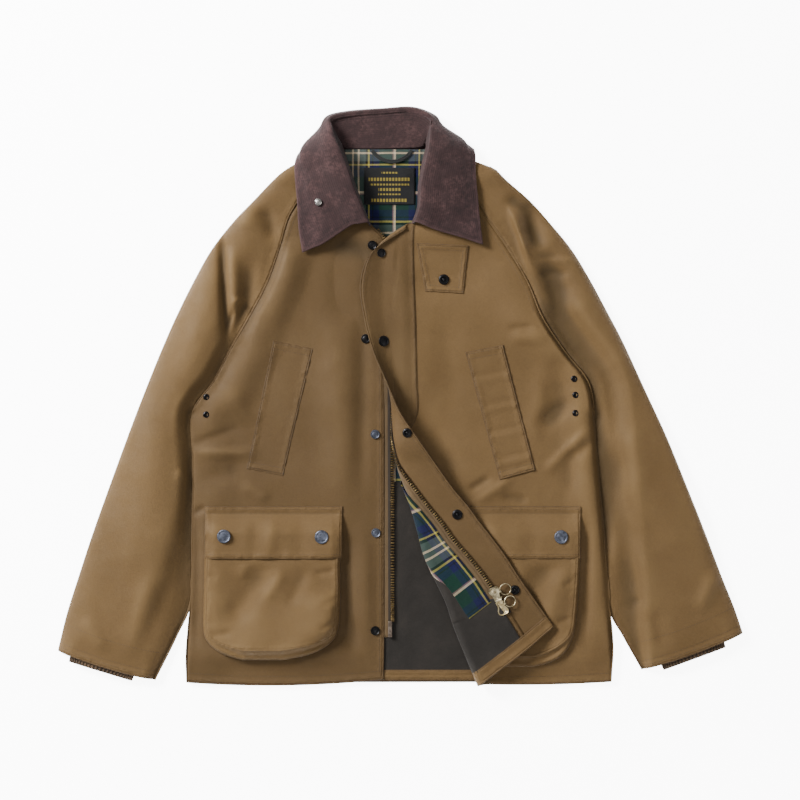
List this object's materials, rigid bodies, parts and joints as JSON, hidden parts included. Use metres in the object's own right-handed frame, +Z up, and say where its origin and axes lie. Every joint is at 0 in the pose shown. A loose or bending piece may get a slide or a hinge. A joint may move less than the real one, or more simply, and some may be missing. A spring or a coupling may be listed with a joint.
{
  "type": "waxed jacket",
  "caption": "Hip-length waxed jacket laid flat on its back, corduroy collar, zip and snap front with one front turned back, bellows pockets, raglan sleeves, check lining.",
  "frame": {"origin": "under the middle of the laid-out jacket, on the surface it lies on", "axes": "+Y towards the collar, +X towards the wearer's left sleeve, +Z up from the surface"},
  "size_m": [0.939, 0.7956, 0.0327],
  "materials": {
    "waxed_khaki": "satin waxed cotton",
    "corduroy_brown": "matt fine corduroy",
    "plaid_lining": "matt woven check",
    "dark_lining": "matt",
    "rib_knit": "matt rib",
    "woven_label": "matt",
    "zip_tape": "matt",
    "brass": "worn",
    "dark_steel": "dark satin"
  },
  "bodies": {
    "garment": {"back_panel": "waxed_khaki", "collar_leaf": "corduroy_brown", "collar_stand": "corduroy_brown", "collar_stud": "dark_steel", "cuff_knit_left": "rib_knit", "cuff_knit_right": "rib_knit", "eyelet_left_1": "dark_steel", "eyelet_left_2": "dark_steel", "eyelet_left_3": "dark_steel", "eyelet_right_1": "dark_steel", "eyelet_right_2": "dark_steel", "facing_plaid": "plaid_lining", "flap_snap_1": "dark_steel", "flap_snap_2": "dark_steel", "flap_snap_3": "dark_steel", "flap_snap_4": "dark_steel", "flap_snap_5": "dark_steel", "front_left": "waxed_khaki", "front_right": "waxed_khaki", "handwarmer_left": "waxed_khaki", "handwarmer_right": "waxed_khaki", "hanger_loop": "plaid_lining", "hem_band_turned": "waxed_khaki", "hem_facing_back": "waxed_khaki", "lining_lower": "dark_lining", "lining_turned_lower": "dark_lining", "lining_turned_upper": "dark_lining", "lining_yoke": "plaid_lining", "neck_label": "woven_label", "pocket_bag_left": "waxed_khaki", "pocket_bag_right": "waxed_khaki", "pocket_flap_left": "waxed_khaki", "pocket_flap_right": "waxed_khaki", "pocket_snap_1": "dark_steel", "pocket_snap_2": "dark_steel", "pocket_snap_3": "dark_steel", "sleeve_left_back": "waxed_khaki", "sleeve_left_front": "waxed_khaki", "sleeve_right_back": "waxed_khaki", "sleeve_right_front": "waxed_khaki", "slider_lower": "brass", "slider_upper": "brass", "storm_flap": "waxed_khaki", "stud_1": "dark_steel", "stud_2": "dark_steel", "stud_3": "dark_steel", "stud_4": "dark_steel", "stud_5": "dark_steel", "tab_snap": "dark_steel", "throat_tab": "waxed_khaki", "zip_stop": "brass", "zip_tape_left": "zip_tape", "zip_tape_right": "zip_tape"},
    "ring_upper": {"pull_ring_upper": "brass"},
    "ring_lower": {"pull_ring_lower": "brass"}
  },
  "joints": [
    {"name": "pull_upper", "type": "hinge", "parent": "garment", "child": "ring_upper", "pos_m": [0.13678, -0.26282, 0.0243], "axis": [0.4191, -0.908, 0], "range_deg": [0, 66]},
    {"name": "pull_lower", "type": "hinge", "parent": "garment", "child": "ring_lower", "pos_m": [0.14303, -0.27921, 0.0243], "axis": [0.4191, -0.908, 0], "range_deg": [0, 66]}
  ]
}
